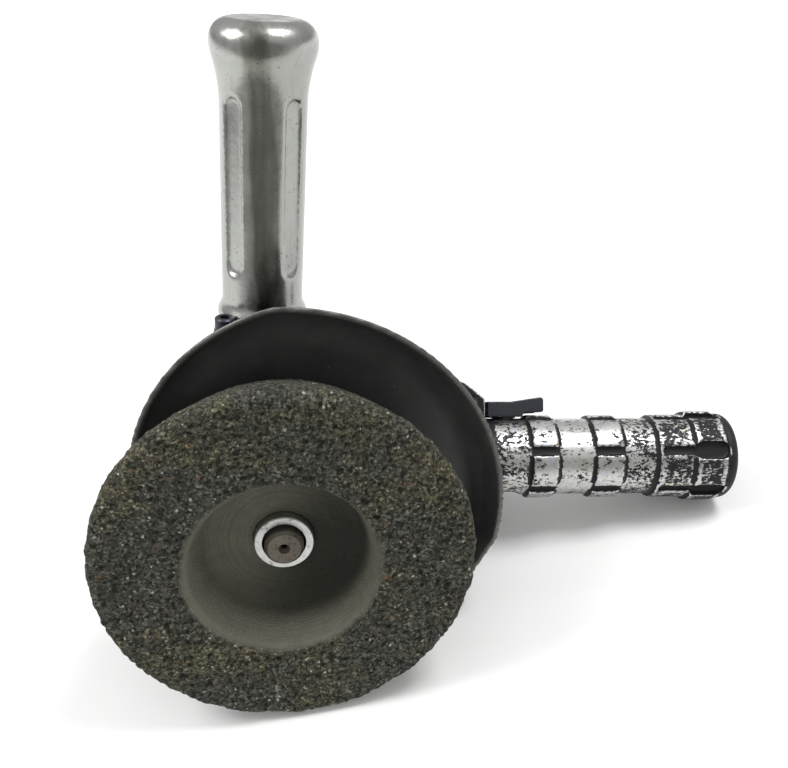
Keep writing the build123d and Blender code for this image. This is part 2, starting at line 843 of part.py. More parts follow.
with BuildPart() as dead_handle_socket:
    extrude(dead_flange(across_dead.offset(pad_outer)), amount=dead_base - pad_outer)
    chamfer(dead_handle_socket.faces().sort_by(Axis.Y)[-1].outer_wire().edges(), 0.4)
    extrude(disc(stud_radius, across_dead.offset(pad_outer)), amount=20, mode=Mode.SUBTRACT)
    with BuildSketch(across_dead.offset(pad_outer)):
        with Locations(*dead_screw_corners):
            Circle(pad_screw_radius)
    extrude(amount=20, mode=Mode.SUBTRACT)
dead_handle_socket.part.label = "dead_handle_socket"

dead_socket_screws = pad_screws(across_dead, dead_base, dead_screw_corners, 14)
dead_socket_screws.label = "dead_socket_screws"

with BuildPart() as dead_handle_stud:
    extrude(disc(stud_radius, across_dead.offset(stud_foot)), amount=stud_top - stud_foot)
dead_handle_stud.part.label = "dead_handle_stud"

with BuildPart() as dead_handle:
    with BuildSketch(along_dead):
        with BuildLine():
            Polyline(
                (0, dead_top),
                (0, dead_base),
                (dead_radius + 1.6, dead_base),
                (dead_radius + 1.6, dead_base + 3),
                (dead_radius - 0.4, dead_base + 7),
                (dead_radius + 0.1, dead_top - 32),
            )
            Spline(
                (dead_radius + 0.1, dead_top - 32),
                (dead_radius + 0.7, dead_top - 24),
                (dead_radius + 2.4, dead_top - 16),
                (dead_bulb_radius, dead_top - 8),
                tangents=((0, 1), (0, 1)),
            )
            ThreePointArc(
                (dead_bulb_radius, dead_top - 8),
                (dead_bulb_radius - 2.6, dead_top - 2.1),
                (dead_bulb_radius - 9, dead_top),
            )
            Line((dead_bulb_radius - 9, dead_top), (0, dead_top))
        make_face()
    revolve(axis=dead_axis)
    extrude(disc(stud_radius, across_dead.offset(dead_base)), amount=stud_top - dead_base + 1, mode=Mode.SUBTRACT)
    for corner in (45, 135, 225, 315):
        turn = radians(corner)
        facing = Plane(origin=dead_axis.position, x_dir=(0, 1, 0), z_dir=(cos(turn), 0, sin(turn)))
        with BuildSketch(facing.offset(dead_radius - flute_depth)):
            with Locations(((flute_bottom + flute_top) / 2, 0)):
                SlotOverall(flute_top - flute_bottom, flute_width)
        extrude(amount=10, mode=Mode.SUBTRACT)
dead_handle.part.label = "dead_handle"

# ---------------------------------------------------------------------------------------------------
# Throttle handle, lever and valve
# ---------------------------------------------------------------------------------------------------

throttle_flange = 8
end_band_radius = 20.6
end_band_x = 211.4
raised_rings = (
    (115.8, 128.2, pad_height),
    (146.4, 159.9, pad_height),
    (177.2, 195, pad_height + 0.2),
    (195, end_band_x - 1.2, end_pad_height),
)
end_slot_x = 178.6
end_bulb_x = 194
ear_gap = 5.6
ear_thickness = 5.4
inlet_radius = 6
inlet_out = -4
inlet_bushing_radius = 11
inlet_bushing_x = 190
inlet_thread_radius = 8.5
inlet_thread_depth = 15
bushing_foot = 13.5
seal_pocket = (12, 4)
guide_radius = plunger_radius + 0.05
cap_out = -16.6


def slot_cutters():
    """Return the solids that cut the lengthwise slots through the grip's raised rings."""
    with BuildPart() as cutters:
        for number in range(slot_count):
            turn = radians(slot_turn + number * 360 / slot_count)
            facing = Plane(origin=throttle_axis.position, x_dir=(1, 0, 0), z_dir=(0, cos(turn), sin(turn)))
            with BuildSketch(facing.offset(throttle_radius - slot_floor)):
                for start, end, _ in raised_rings[:2]:
                    with Locations(((start + end) / 2, 0)):
                        Rectangle(end - start + 0.6, slot_width)
                with Locations(((end_slot_x + end_band_x) / 2, 0)):
                    SlotOverall(end_band_x - end_slot_x, slot_width)
                with Locations(((end_bulb_x + end_band_x) / 2, 0)):
                    SlotOverall(end_band_x - end_bulb_x, end_slot_width)
            extrude(amount=6)
    return cutters.part


with BuildPart() as throttle_handle:
    revolve(
        outline(
            [
                (throttle_base, 0),
                (throttle_base, throttle_root_radius),
                (throttle_shoulder, throttle_root_radius),
                (throttle_shoulder + 2, throttle_radius),
                (end_band_x - 1, throttle_radius),
                (end_band_x, end_band_radius),
                (throttle_tip, end_band_radius),
                (throttle_tip, 0),
            ],
            rounds=[(2, 1.5), (6, 4)],
            plane=along_throttle,
        ),
        axis=throttle_axis,
    )
    with BuildSketch(across_throttle.offset(throttle_base)):
        RectangleRounded(pad_side, pad_side, pad_corner)
    extrude(amount=throttle_flange)
    for start, end, height in raised_rings:
        ring_face = disc(throttle_radius + height, across_throttle.offset(start), throttle_radius - 1)
        extrude(ring_face, amount=end - start)
    add(slot_cutters(), mode=Mode.SUBTRACT)
    for side in (ear_gap, -ear_gap - ear_thickness):
        ear = [(76, 15), (76, 33.4), (84, 35.8), (95, 27.2), (95, 15)]
        extrude(outline(ear, rounds=[(1, 2), (2, 2)], plane=lever_plane.offset(side)), amount=ear_thickness)
    with BuildSketch(lever_plane.offset(-ear_gap - ear_thickness)):
        with Locations((lever_pin_x, lever_pin_out)):
            Circle(lever_pin_radius)
    extrude(amount=2 * (ear_gap + ear_thickness), mode=Mode.SUBTRACT)
    for radius, start, end in (
        (chamber_radius, cap_out - 4, valve_seat_out),
        (4.5, valve_seat_out, port_out),
        (guide_radius, port_out, bushing_foot),
        (seal_pocket[1], seal_pocket[0], bushing_foot),
        (5, bushing_foot, 24),
    ):
        extrude(disc(radius, valve_plane.offset(start)), amount=end - start, mode=Mode.SUBTRACT)
    extrude(disc(port_radius, port_plane), amount=valve_x, mode=Mode.SUBTRACT)
    with BuildSketch(Plane(origin=lever_plane.from_local_coords((valve_x, inlet_out, 0)), z_dir=(1, 0, 0))):
        Circle(inlet_radius)
    extrude(amount=inlet_bushing_x + 5 - valve_x, mode=Mode.SUBTRACT)
    extrude(
        disc(inlet_bushing_radius, across_throttle.offset(inlet_bushing_x)),
        amount=throttle_tip - inlet_bushing_x,
        mode=Mode.SUBTRACT,
    )
    with BuildSketch(across_throttle.offset(throttle_base)):
        with Locations(*screw_corners):
            Circle(pad_screw_radius)
    extrude(amount=throttle_flange, mode=Mode.SUBTRACT)
throttle_handle.part.label = "throttle_handle"

throttle_screws = pad_screws(across_throttle, throttle_base + throttle_flange, screw_corners, 12)
throttle_screws.label = "throttle_handle_screws"

lever_half_width = 8
lever_root_half_width = ear_gap - 0.25
lever_barrel_radius = 4.4
lever_sheet = 3
lever_underside = plunger_top + 0.15
lever_shoulder_x = 96.6
lever_bend_x = 108
lever_tip_x = 124
lever_tip_rise = 2.4
lever_skirt = 2
lever_skirt_out = 18.7
lever_top_points = [
    (lever_tip_x, lever_underside + lever_tip_rise + lever_sheet),
    (lever_bend_x, lever_underside + lever_sheet),
]

with BuildPart() as throttle_lever:
    root = [
        (lever_pin_x, lever_underside),
        (lever_bend_x, lever_underside),
        (lever_bend_x, lever_underside + lever_sheet),
        (lever_pin_x, lever_underside + lever_sheet),
    ]
    extrude(outline(root, plane=lever_plane), amount=lever_root_half_width, both=True)
    side = [
        (lever_shoulder_x, lever_skirt_out),
        (113.4, lever_skirt_out),
        (114.4, lever_skirt_out + 1.8),
        (lever_tip_x, lever_skirt_out + 2.3),
        *lever_top_points,
        (lever_shoulder_x, lever_underside + lever_sheet),
    ]
    extrude(outline(side, rounds=[(3, 1.2), (4, 1.5)], plane=lever_plane), amount=lever_half_width, both=True)
    hollow = [
        (lever_shoulder_x - 1, lever_skirt_out - 1),
        (lever_tip_x + 1, lever_skirt_out - 1),
        (lever_tip_x + 1, lever_underside + lever_tip_rise),
        (lever_bend_x, lever_underside),
        (lever_shoulder_x - 1, lever_underside),
    ]
    hollow_width = lever_half_width - lever_skirt
    extrude(outline(hollow, plane=lever_plane), amount=hollow_width, both=True, mode=Mode.SUBTRACT)
    for radius, mode in ((lever_barrel_radius, Mode.ADD), (lever_pin_radius + 0.05, Mode.SUBTRACT)):
        with BuildSketch(lever_plane):
            with Locations((lever_pin_x, lever_pin_out)):
                Circle(radius)
        extrude(amount=lever_root_half_width, both=True, mode=mode)
throttle_lever.part.label = "throttle_lever"

with BuildPart() as lever_pin:
    with BuildSketch(lever_plane.offset(-ear_gap - ear_thickness)):
        with Locations((lever_pin_x, lever_pin_out)):
            Circle(lever_pin_radius)
    extrude(amount=2 * (ear_gap + ear_thickness))
lever_pin.part.label = "lever_pin"

with BuildPart() as throttle_plunger:
    extrude(disc(plunger_radius, valve_plane.offset(plunger_foot)), amount=plunger_top - plunger_foot)
    fillet(throttle_plunger.edges().sort_by(valve_axis)[-1], 1)
throttle_plunger.part.label = "throttle_plunger"

bushing_rim_out = 18.3

with BuildPart() as plunger_bushing:
    extrude(disc(5, valve_plane.offset(bushing_foot), guide_radius), amount=bushing_rim_out - bushing_foot)
    extrude(disc(5.8, valve_plane.offset(bushing_rim_out), guide_radius), amount=1)
plunger_bushing.part.label = "plunger_bushing"

with BuildPart() as plunger_seal:
    with Locations(valve_plane.offset((seal_pocket[0] + bushing_foot) / 2)):
        Torus(plunger_radius + 0.75, 0.65)
plunger_seal.part.label = "plunger_seal"

spring_wire = 0.6
spring_radius = 4.3
spring_turns = 5
valve_head = 3.4
valve_back = valve_seat_out - 0.1 - valve_head

with BuildPart() as throttle_valve:
    revolve(
        outline(
            [
                (0, plunger_foot - 0.1),
                (1.8, plunger_foot - 0.1),
                (1.8, valve_seat_out - 0.1),
                (valve_radius, valve_seat_out - 0.1),
                (valve_radius, valve_back),
                (2.5, valve_back),
                (2.5, valve_back - 3.5),
                (0, valve_back - 3.5),
            ],
            rounds=[(4, 0.6)],
            plane=valve_section,
        ),
        axis=valve_axis,
    )
throttle_valve.part.label = "throttle_valve"

spring_foot = valve_cap_top + spring_wire + 0.1
spring_height = valve_back - spring_wire - 0.1 - spring_foot

with BuildPart() as valve_spring:
    with BuildLine() as coil:
        Helix(
            pitch=spring_height / spring_turns,
            height=spring_height,
            radius=spring_radius,
            center=valve_plane.offset(spring_foot).origin,
            direction=lever_out,
        )
    with BuildSketch(Plane(origin=coil.line @ 0, z_dir=coil.line % 0)):
        Circle(spring_wire)
    sweep(path=coil.line, is_frenet=True)
valve_spring.part.label = "valve_spring"

cap_socket_depth = 2.2

with BuildPart() as valve_cap:
    extrude(disc(chamber_radius, valve_plane.offset(cap_out)), amount=valve_cap_top - cap_out)
    with BuildSketch(valve_plane.offset(cap_out)):
        RegularPolygon(3.5, 6)
    extrude(amount=cap_socket_depth, mode=Mode.SUBTRACT)
    chamfer(valve_cap.faces().sort_by(valve_axis)[0].outer_wire().edges(), 0.3)
valve_cap.part.label = "valve_cap"

strainer_x = 193
strainer_radius = 6.9

with BuildPart() as air_inlet_bushing:
    revolve(
        outline(
            [
                (inlet_bushing_x, strainer_radius),
                (inlet_bushing_x, inlet_bushing_radius),
                (throttle_tip - 0.6, inlet_bushing_radius),
                (throttle_tip - 0.6, inlet_thread_radius + 0.8),
                (throttle_tip - 1.4, inlet_thread_radius),
                (throttle_tip - inlet_thread_depth, inlet_thread_radius),
                (throttle_tip - inlet_thread_depth - 1, strainer_radius),
            ],
            plane=along_throttle,
        ),
        axis=throttle_axis,
    )
air_inlet_bushing.part.label = "air_inlet_bushing"

with BuildPart() as inlet_strainer:
    with BuildSketch(across_throttle.offset(strainer_x)):
        Circle(strainer_radius)
        with Locations((0, 0)):
            Circle(0.8, mode=Mode.SUBTRACT)
        for circle_radius, holes in ((2.6, 6), (5, 12)):
            with PolarLocations(circle_radius, holes):
                Circle(0.8, mode=Mode.SUBTRACT)
    extrude(amount=1)
inlet_strainer.part.label = "inlet_strainer"

# ---------------------------------------------------------------------------------------------------
# Resting place and STEP files
# ---------------------------------------------------------------------------------------------------

pieces = [
    grinding_wheel.part,
    wheel_bushing.part,
    spindle.part,
    back_flange.part,
    *bearing_parts,
    rotor.part,
    rotor_key.part,
    *vanes,
    cylinder_liner.part,
    liner_dowel.part,
    front_end_plate.part,
    rear_end_plate.part,
    spindle_locknut.part,
    nose_housing.part,
    nose_gasket.part,
    nose_screws.part,
    dust_seal.part,
    seal_washer.part,
    motor_housing.part,
    rear_gasket.part,
    rear_cap.part,
    rear_cap_screws.part,
    exhaust_deflector.part,
    oil_plug.part,
    wheel_guard.part,
    guard_clamp_band.part,
    guard_clamp_screw.part,
    guard_clamp_nut.part,
    dead_handle_socket.part,
    dead_socket_screws,
    dead_handle_stud.part,
    dead_handle.part,
    throttle_handle.part,
    throttle_screws,
    throttle_lever.part,
    lever_pin.part,
    throttle_plunger.part,
    plunger_bushing.part,
    plunger_seal.part,
    throttle_valve.part,
    valve_spring.part,
    valve_cap.part,
    air_inlet_bushing.part,
    inlet_strainer.part,
]

# The tool lies on the wheel's front corner, the rear cap's corner and the throttle handle's last pad.
# The wheel and the cap have the same corner radius, so the line under them sets how far it leans back.
lean = atan((wheel_radius - cap_radius) / (tool_length - 2 * wheel_corner))
floor_below_face = (wheel_radius - wheel_corner) * cos(lean) + wheel_corner * (1 + sin(lean))

# The handle's tip then drops to that same floor, which sets the roll about the spindle.
tip_radius = throttle_radius + end_pad_height
tip_drop = floor_below_face + handle_z * sin(lean)
tip_angle = asin(tip_drop / hypot(end_band_x, tip_radius)) - atan2(tip_radius, end_band_x)
roll = asin(sin(tip_angle) / cos(lean))

stance = Location((0, 0, 0), (90 - degrees(lean), 0, -degrees(roll)))
extent = Compound([piece.moved(stance) for piece in pieces]).bounding_box()
rest = Location((-extent.center().X, -extent.center().Y, -extent.min.Z)) * stance

os.makedirs("parts", exist_ok=True)
for piece in pieces:
    export_step(piece.moved(rest), f"parts/{piece.label}.step")
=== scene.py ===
"""Looks of the vertical air grinder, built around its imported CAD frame."""

import json
import math

import bpy
import numpy as np
from mathutils import Matrix, Vector, noise


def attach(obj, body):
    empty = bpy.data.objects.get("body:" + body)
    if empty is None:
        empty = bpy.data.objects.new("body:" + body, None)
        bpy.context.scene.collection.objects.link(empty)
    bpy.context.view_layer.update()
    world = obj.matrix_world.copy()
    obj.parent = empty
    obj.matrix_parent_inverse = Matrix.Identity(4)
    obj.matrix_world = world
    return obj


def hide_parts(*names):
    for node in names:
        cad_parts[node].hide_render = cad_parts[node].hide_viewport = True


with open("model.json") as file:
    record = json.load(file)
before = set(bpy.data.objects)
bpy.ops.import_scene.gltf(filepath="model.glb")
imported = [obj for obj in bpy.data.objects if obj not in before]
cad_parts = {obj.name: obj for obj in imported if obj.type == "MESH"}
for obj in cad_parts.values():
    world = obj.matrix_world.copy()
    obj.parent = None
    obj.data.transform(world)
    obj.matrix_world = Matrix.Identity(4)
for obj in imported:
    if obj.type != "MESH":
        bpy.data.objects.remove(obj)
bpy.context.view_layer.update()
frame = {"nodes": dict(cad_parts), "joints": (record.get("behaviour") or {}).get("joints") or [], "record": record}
nodes = frame["nodes"]
MM = 0.001

# The tool's own axes: x out along the throttle handle, y up the dead handle, z out of the wheel's face.
spin = next(joint for joint in frame["joints"] if joint["name"] == "spindle_spin")
inlet = next(mount for mount in frame["record"]["mounts"] if mount["name"] == "air_inlet")
face_centre = Vector(spin["pos_m"])
tool_z = Vector(spin["axis"]).normalized()
tool_x = Vector(inlet["axis"]).normalized()
tool_y = tool_z.cross(tool_x)
TOOL = np.array([tool_x, tool_y, tool_z])
ORIGIN = np.array(face_centre)

# Places on the tool: millimetres along its axes, and degrees round the throttle handle
HANDLE_Z = -86.0
DEAD_X = -9.0
WHEEL_RADIUS = 76.2
RECESS_RADIUS = 38.0
RECESS_BACK = -29.0
LIP_CENTRE = (-1.2, -1.5)
GRIP_START = 96.0
RINGS = ((115.8, 128.2), (146.4, 159.9))
END_RINGS = ((177.2, 195.0), (195.0, 210.2))
END_BAND = 210.2
SLOT_TURN = -7.0
SLOT_STEP = 60.0
SLOT_HALF_WIDTHS = (1.9, 4.2)
SLOT_EDGE = 0.7

# The rounds of relaxing that flatten a surface enough to measure what stands proud of it
FLATTENING = 14


def tool_coords(points):
    """Return points given in metres in the row frame as millimetres along the tool's axes."""
    return (points - ORIGIN) @ TOOL.T / MM


def smoothstep(low, high, value):
    """Return 0 below low, 1 above high and a smooth ramp between."""
    t = np.clip((value - low) / (high - low), 0, 1)
    return t * t * (3 - 2 * t)


def look_up(places, table):
    """Return the number for each place, read between the rows of a table of (place, number)."""
    rows, numbers = zip(*table)
    return np.interp(places, rows, numbers)


def field(points, size, seed=0.0):
    """Return smooth noise from -1 to 1 at points in millimetres, with features of this size."""
    shift = Vector((seed * 17.3, seed * 5.1, seed * 9.7))
    return np.array([noise.noise(Vector(p) / size + shift) for p in points])


def get_points(mesh):
    """Return a mesh's vertices as an array."""
    points = np.empty(len(mesh.vertices) * 3)
    mesh.vertices.foreach_get("co", points)
    return points.reshape(-1, 3)


def get_normals(mesh):
    """Return a mesh's vertex normals as an array."""
    normals = np.empty(len(mesh.vertices) * 3)
    mesh.vertex_normals.foreach_get("vector", normals)
    return normals.reshape(-1, 3)


def set_points(mesh, points):
    """Move a mesh's vertices."""
    mesh.vertices.foreach_set("co", points.ravel())
    mesh.update()


def set_attribute(mesh, name, values):
    """Store one number for each vertex, for the materials to read."""
    attribute = mesh.attributes.new(name, "FLOAT", "POINT")
    attribute.data.foreach_set("value", np.asarray(values, np.float32))


def relax(mesh, points, rounds, strength=0.5):
    """Return the points after rounds of moving each one towards the middle of its neighbours."""
    edges = np.empty(len(mesh.edges) * 2, np.int64)
    mesh.edges.foreach_get("vertices", edges)
    a, b = edges[0::2], edges[1::2]
    count = np.bincount(edges, minlength=len(points))[:, None]
    for _ in range(rounds):
        total = np.zeros_like(points)
        for axis in range(3):
            total[:, axis] = np.bincount(a, points[b, axis], len(points))
            total[:, axis] += np.bincount(b, points[a, axis], len(points))
        points = points + strength * (total / count - points)
    return points


# ---------------------------------------------------------------------------------------------------
# Materials
# ---------------------------------------------------------------------------------------------------


class Shader:
    """A material under construction: short calls that add nodes and link them."""

    def __init__(self, name):
        self.material = bpy.data.materials.new(name)
        self.material.use_nodes = True
        self.tree = self.material.node_tree
        self.surface = self.tree.nodes["Principled BSDF"]
        coords = self.tree.nodes.new("ShaderNodeTexCoord")
        scaled = self.tree.nodes.new("ShaderNodeVectorMath")
        scaled.operation = "SCALE"
        scaled.inputs["Scale"].default_value = 1 / MM
        self.link(coords.outputs["Object"], scaled.inputs[0])
        self.coords = scaled.outputs[0]

    def link(self, value, socket):
        """Put a number, a colour or another node's output into a socket."""
        if isinstance(value, bpy.types.NodeSocket):
            self.tree.links.new(value, socket)
        else:
            socket.default_value = value

    def set(self, **inputs):
        """Fill the surface's sockets, named with underscores for spaces."""
        for name, value in inputs.items():
            self.link(value, self.surface.inputs[name.replace("_", " ")])

    def noise(self, size, detail=3.0, roughness=0.55, stretch=None):
        """Noise from 0 to 1 with features of this size in millimetres, drawn out along one tool axis."""
        node = self.tree.nodes.new("ShaderNodeTexNoise")
        node.inputs["Scale"].default_value = 1 / size
        node.inputs["Detail"].default_value = detail
        node.inputs["Roughness"].default_value = roughness
        self.link(self.along(stretch) if stretch else self.coords, node.inputs["Vector"])
        return node.outputs["Fac"]

    def along(self, stretch):
        """Coordinates squeezed along one direction, so that what is drawn there comes out long."""
        direction, factor = stretch
        part = self.vector("DOT_PRODUCT", self.coords, tuple(direction)).outputs["Value"]
        scaled = self.math("MULTIPLY", part, 1 / factor - 1)
        offset = self.vector("SCALE", tuple(direction))
        self.link(scaled, offset.inputs["Scale"])
        return self.vector("ADD", self.coords, offset.outputs[0]).outputs[0]

    def vector(self, operation, a, b=None):
        """A vector maths node."""
        node = self.tree.nodes.new("ShaderNodeVectorMath")
        node.operation = operation
        self.link(a, node.inputs[0])
        if b is not None:
            self.link(b, node.inputs[1])
        return node

    def cells(self, size):
        """Voronoi cells of this size: the node, for its colour and distance."""
        node = self.tree.nodes.new("ShaderNodeTexVoronoi")
        node.inputs["Scale"].default_value = 1 / size
        self.link(self.coords, node.inputs["Vector"])
        return node

    def attribute(self, name):
        """The number that the mesh code stored under this name."""
        node = self.tree.nodes.new("ShaderNodeAttribute")
        node.attribute_name = name
        return node.outputs["Fac"]

    def math(self, operation, a, b=0.0):
        """A maths node."""
        node = self.tree.nodes.new("ShaderNodeMath")
        node.operation = operation
        self.link(a, node.inputs[0])
        self.link(b, node.inputs[1])
        return node.outputs[0]

    def step(self, value, low, high, to_low=0.0, to_high=1.0):
        """A smooth ramp of value from low to high, between two output numbers."""
        node = self.tree.nodes.new("ShaderNodeMapRange")
        node.interpolation_type = "SMOOTHSTEP"
        for name, number in (("From Min", low), ("From Max", high), ("To Min", to_low), ("To Max", to_high)):
            self.link(number, node.inputs[name])
        self.link(value, node.inputs["Value"])
        return node.outputs["Result"]

    def mix(self, share, a, b):
        """Colour a where share is 0 and colour b where it is 1."""
        node = self.tree.nodes.new("ShaderNodeMix")
        node.data_type = "RGBA"
        self.link(share, node.inputs["Factor"])
        self.link(colour(a), node.inputs["A"])
        self.link(colour(b), node.inputs["B"])
        return node.outputs["Result"]

    def ramp(self, value, stops):
        """A colour for each value, from a list of (place, colour)."""
        node = self.tree.nodes.new("ShaderNodeValToRGB")
        elements = node.color_ramp.elements
        while len(elements) < len(stops):
            elements.new(0.5)
        for element, (place, shade) in zip(elements, stops):
            element.position = place
            element.color = colour(shade)
        self.link(value, node.inputs["Fac"])
        return node.outputs["Color"]

    def bump(self, height, depth, strength=1.0, under=None):
        """A normal from a height of 0 to 1 that stands for this depth in millimetres."""
        node = self.tree.nodes.new("ShaderNodeBump")
        node.inputs["Strength"].default_value = strength
        node.inputs["Distance"].default_value = depth * MM
        self.link(height, node.inputs["Height"])
        if under is not None:
            self.link(under, node.inputs["Normal"])
        return node.outputs["Normal"]


class Sky(Shader):
    """The world's nodes: the direction looked in takes the place of a surface's coordinates."""

    def __init__(self, world):
        world.use_nodes = True
        self.tree = world.node_tree
        self.surface = self.tree.nodes["Background"]
        direction = self.tree.nodes.new("ShaderNodeTexCoord")
        split = self.tree.nodes.new("ShaderNodeSeparateXYZ")
        self.link(direction.outputs["Generated"], split.inputs[0])
        self.x, self.y, self.z = split.outputs


def colour(value):
    """Return a grey number or an RGB triple as RGBA; another node's output passes through."""
    if isinstance(value, bpy.types.NodeSocket):
        return value
    if isinstance(value, (int, float)):
        return (value, value, value, 1.0)
    return (*value[:3], 1.0)


def black_paint(name, wear=0.35, gloss=0.34):
    """Black paint over steel or casting, rubbed bright on the edges that stand proud."""
    s = Shader(name)
    proud = s.attribute("edge")
    speckle = s.noise(1.1, 4, 0.7)
    broad = s.noise(14, 3)
    lifted = s.math("ADD", proud, s.math("MULTIPLY", s.math("SUBTRACT", speckle, 0.5), 0.5))
    worn = s.step(lifted, wear, wear + 0.12)
    chips = s.step(s.cells(7).outputs["Distance"], 0.05, 0.08, 1, 0)
    chips = s.math("MULTIPLY", chips, s.step(s.noise(18, 3), 0.5, 0.62))
    worn = s.math("MAXIMUM", worn, chips)
    film = s.step(s.noise(9, 5, 0.7), 0.5, 0.72, 0, 0.6)
    dust = s.step(s.noise(0.35, 2), 0.62, 0.8, 0, 0.35)
    paint = s.mix(broad, (0.027, 0.0272, 0.0275), (0.043, 0.0432, 0.043))
    paint = s.mix(film, paint, (0.052, 0.050, 0.046))
    paint = s.mix(dust, paint, (0.06, 0.06, 0.062))
    metal = s.mix(s.noise(0.8, 3), (0.07, 0.068, 0.062), (0.17, 0.168, 0.16))
    s.set(
        Base_Color=s.mix(worn, paint, metal),
        Metallic=s.math("MULTIPLY", worn, 0.6),
        Roughness=s.math("ADD", s.step(broad, 0.3, 0.7, gloss, gloss + 0.12), s.math("MULTIPLY", film, 0.3)),
        Normal=s.bump(s.noise(0.9, 4, 0.6), 0.09, 0.5, s.bump(speckle, 0.12, 0.4)),
    )
    return s.material


def abrasive():
    """Coarse dark grit in a bond, with a few glints and rusty grains, brown worn patches, and painted shade in the
    pores and deep in the recess.
    """
    s = Shader("abrasive_stone")
    smooth = s.attribute("smooth")
    grains = s.cells(0.95)
    value = s.tree.nodes.new("ShaderNodeSeparateColor")
    s.link(grains.outputs["Color"], value.inputs["Color"])
    grit = s.ramp(
        value.outputs[0],
        [
            (0.0, (0.022, 0.022, 0.018)),
            (0.4, (0.039, 0.039, 0.032)),
            (0.75, (0.065, 0.064, 0.051)),
            (0.95, (0.100, 0.098, 0.080)),
            (0.99, (0.16, 0.155, 0.13)),
        ],
    )
    # Painted shade in the pores: pore spots from noise, and the mesh's deeper pores, are darkened almost to black.
    pores = s.step(s.noise(1.4, 3, 0.6), 0.4, 0.5)
    grit = s.mix(pores, (0.012, 0.012, 0.010), grit)
    brown = s.step(s.noise(26, 4, 0.6), 0.46, 0.64, 0, 0.8)
    grit = s.mix(brown, grit, s.vector("MULTIPLY", grit, (1.45, 1.34, 1.0)).outputs[0])
    grit = s.mix(s.step(s.attribute("pore_shade"), 0.05, 0.7, 0, 0.75), grit, (0.006, 0.006, 0.005))
    rust = s.step(s.noise(3.0, 2, 0.5), 0.69, 0.75, 0, 0.6)
    grit = s.mix(rust, grit, (0.14, 0.07, 0.035))
    haze = s.mix(s.noise(6, 5, 0.65), (0.076, 0.074, 0.057), (0.150, 0.144, 0.112))
    lines = s.tree.nodes.new("ShaderNodeTexNoise")
    lines.noise_dimensions = "1D"
    s.link(s.attribute("turned"), lines.inputs["W"])
    s.link(1.3, lines.inputs["Scale"])
    s.link(3, lines.inputs["Detail"])
    haze = s.mix(s.step(lines.outputs["Fac"], 0.35, 0.65, 0, 0.35), haze, (0.045, 0.042, 0.034))
    # Painted shade: the recess is darkened towards black with depth, most on one side.
    haze = s.mix(s.step(s.attribute("recess_shade"), 0.0, 1.0, 0, 0.85), haze, (0.012, 0.012, 0.010))
    glint = s.math("MULTIPLY", s.step(value.outputs[1], 0.992, 0.997), s.math("SUBTRACT", 1.0, smooth))
    base = s.mix(smooth, grit, haze)
    base = s.mix(s.math("MULTIPLY", glint, 0.6), base, (0.42, 0.41, 0.36))
    fine = s.bump(s.noise(0.5, 3, 0.6), 0.12, 0.6)
    coarse = s.bump(grains.outputs["Distance"], 0.55, 0.8, fine)
    s.set(Base_Color=base, Roughness=s.step(glint, 0, 1, 0.9, 0.35), Specular_IOR_Level=0.3, Normal=coarse)
    return s.material


def polished_casting():
    """Cast aluminium polished by hands: scratches, small pits, greyer hollows, and a painted reflection, a dark
    streak for a figure mirrored in the polish.
    """
    s = Shader("cast_aluminium")
    lengthwise = (tool_y, 22)
    scratches = s.noise(0.45, 3, 0.6, lengthwise)
    long_marks = s.step(s.noise(1.6, 2, 0.5, (tool_y, 30)), 0.62, 0.7)
    pits = s.cells(1.9)
    spots = s.step(pits.outputs["Distance"], 0.1, 0.16, 1, 0)
    spots = s.math("MULTIPLY", spots, s.step(s.noise(9, 2), 0.46, 0.6))
    hollow = s.step(s.attribute("edge"), -0.16, 0.02, 1, 0)
    cloudy = s.noise(11, 4, 0.6)
    base = s.mix(cloudy, (0.28, 0.285, 0.268), (0.42, 0.425, 0.405))
    # Painted reflection: a dark olive streak that stands for a dark figure mirrored in the polished front.
    reflected_dark = s.mix(s.noise(2.5, 4, 0.6, lengthwise), (0.10, 0.10, 0.085), (0.20, 0.20, 0.165))
    streaky = s.step(s.noise(8, 3, 0.6, lengthwise), 0.3, 0.55, 0.35, 0.85)
    base = s.mix(s.math("MULTIPLY", s.attribute("painted_reflection"), streaky), base, reflected_dark)
    base = s.mix(s.math("MULTIPLY", hollow, 0.2), base, (0.24, 0.24, 0.22))
    base = s.mix(s.math("MULTIPLY", spots, 0.75), base, (0.07, 0.066, 0.056))
    base = s.mix(s.math("MULTIPLY", long_marks, 0.25), base, (0.22, 0.21, 0.16))
    rough = s.math("ADD", s.step(cloudy, 0.3, 0.7, 0.19, 0.31), s.math("MULTIPLY", spots, 0.3))
    rough = s.math("ADD", rough, s.math("MULTIPLY", hollow, 0.12))
    normal = s.bump(scratches, 0.02, 0.5, s.bump(spots, 0.12, 0.6, s.bump(s.noise(7, 3), 0.35, 0.35)))
    s.set(Base_Color=base, Metallic=1.0, Roughness=rough, Normal=normal)
    return s.material


